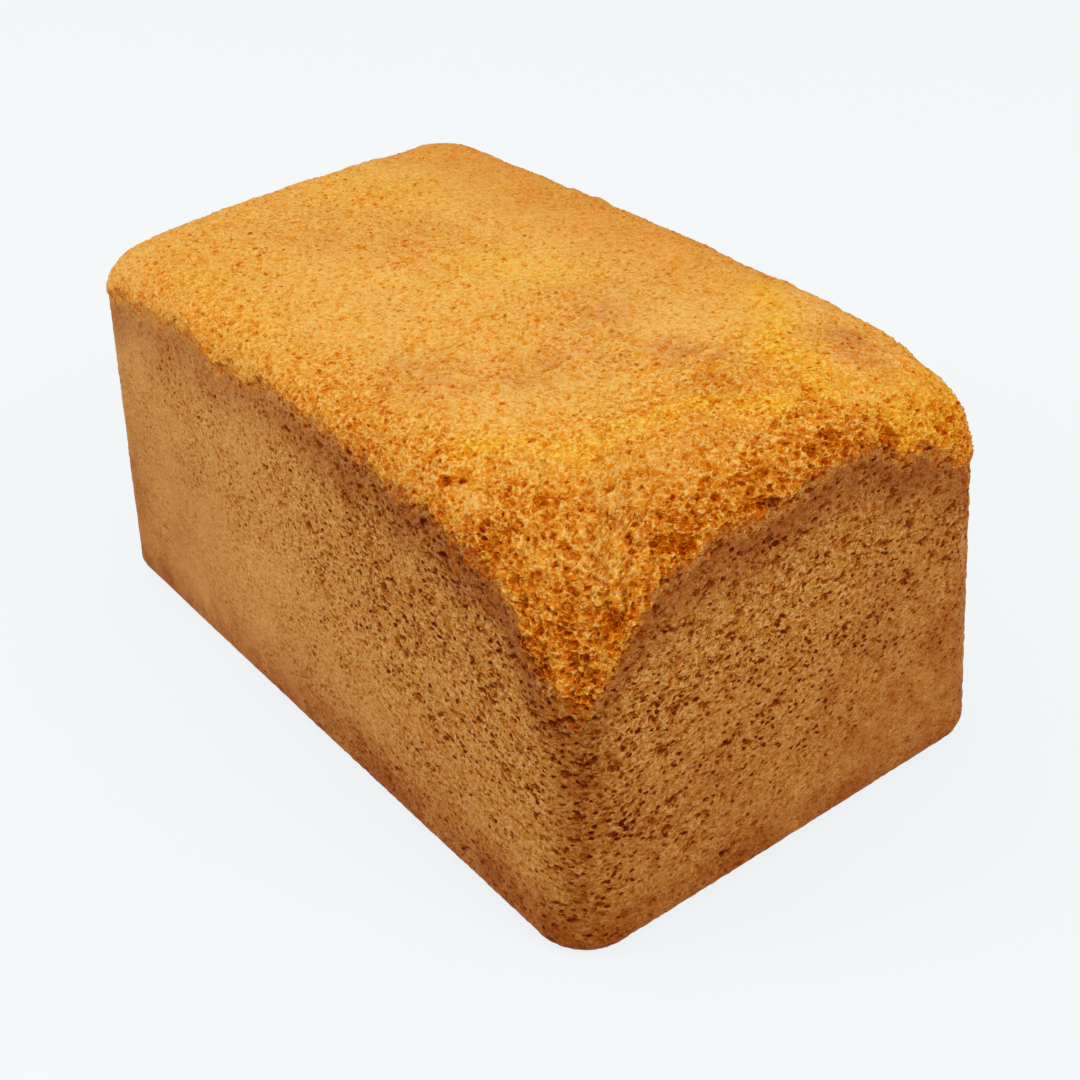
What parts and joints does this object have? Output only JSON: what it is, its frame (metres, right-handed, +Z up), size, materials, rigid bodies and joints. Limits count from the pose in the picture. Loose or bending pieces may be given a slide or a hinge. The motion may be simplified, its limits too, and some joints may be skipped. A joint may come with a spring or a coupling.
{
  "type": "butter cake",
  "caption": "Whole block-shaped butter cake with pored side skin, a rounded open-crumb top that is torn low at the corners, and a flat base.",
  "frame": {"origin": "middle of the flat base that the cake stands on", "axes": "+X along the length towards the end with the two deep torn corners, +Y along the width, +Z up"},
  "size_m": [0.1696, 0.1, 0.0828],
  "materials": {
    "cake": "dull baked cake: tan-brown pored skin on the walls, open golden-orange crumb on top"
  },
  "bodies": {
    "root": {"cake": "cake"}
  },
  "joints": []
}
